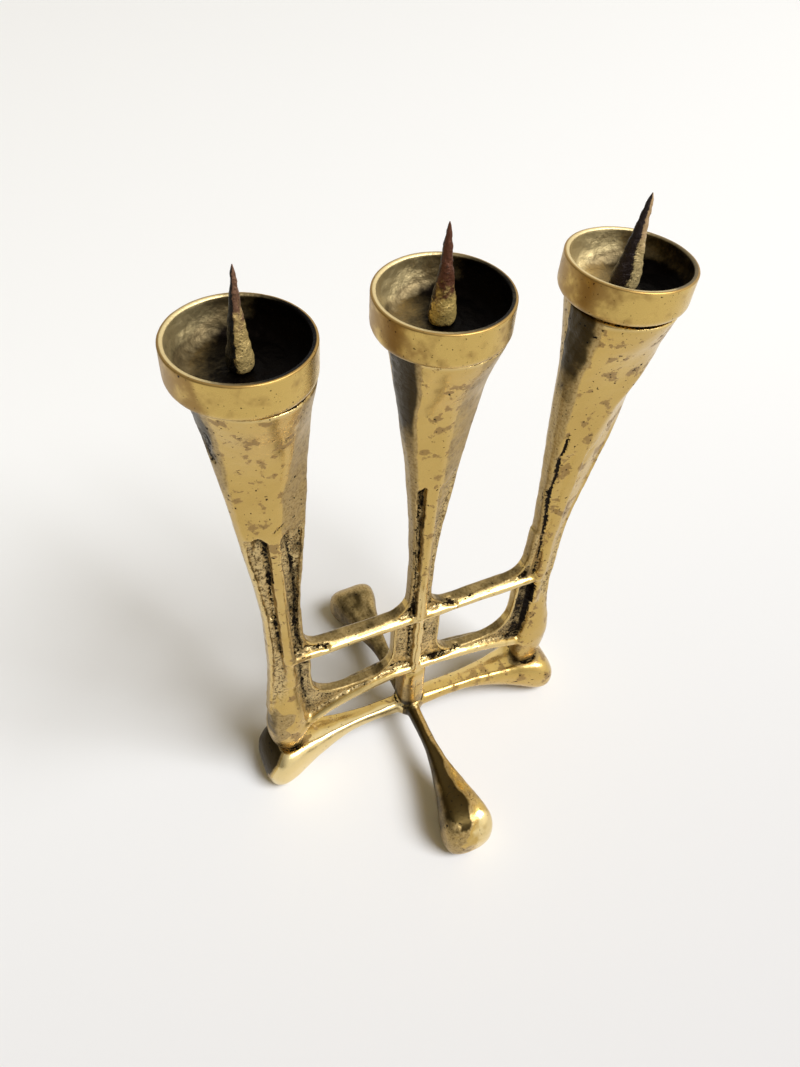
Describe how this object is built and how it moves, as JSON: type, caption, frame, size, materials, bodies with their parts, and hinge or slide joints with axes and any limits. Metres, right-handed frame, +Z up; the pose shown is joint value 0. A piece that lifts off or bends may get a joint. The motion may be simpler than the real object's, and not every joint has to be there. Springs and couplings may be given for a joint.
{
  "type": "candelabra",
  "caption": "Cast brass candelabra: ribbed arms joined by cross bars, shallow cups with candle spikes, on a cross-shaped foot with rounded toes.",
  "frame": {"origin": "on the table at the middle of the overall box, under the hub", "axes": "+X along the three arms to the right one, -Y to the front toe, +Z up"},
  "size_m": [0.1584, 0.1477, 0.2627],
  "materials": {
    "cast_brass": "hand-finished casting, ribs polished and hollows left dark",
    "turned_brass": "turned and brushed",
    "spike_bronze": "rough, darkened by use",
    "screw_steel": "plain"
  },
  "bodies": {
    "root": {"frame_casting": "cast_brass", "foot_casting": "cast_brass", "hub_screw": "screw_steel", "hub_washer": "screw_steel", "left_cup": "turned_brass", "left_spike": "spike_bronze", "centre_cup": "turned_brass", "centre_spike": "spike_bronze", "right_cup": "turned_brass", "right_spike": "spike_bronze"}
  },
  "joints": []
}
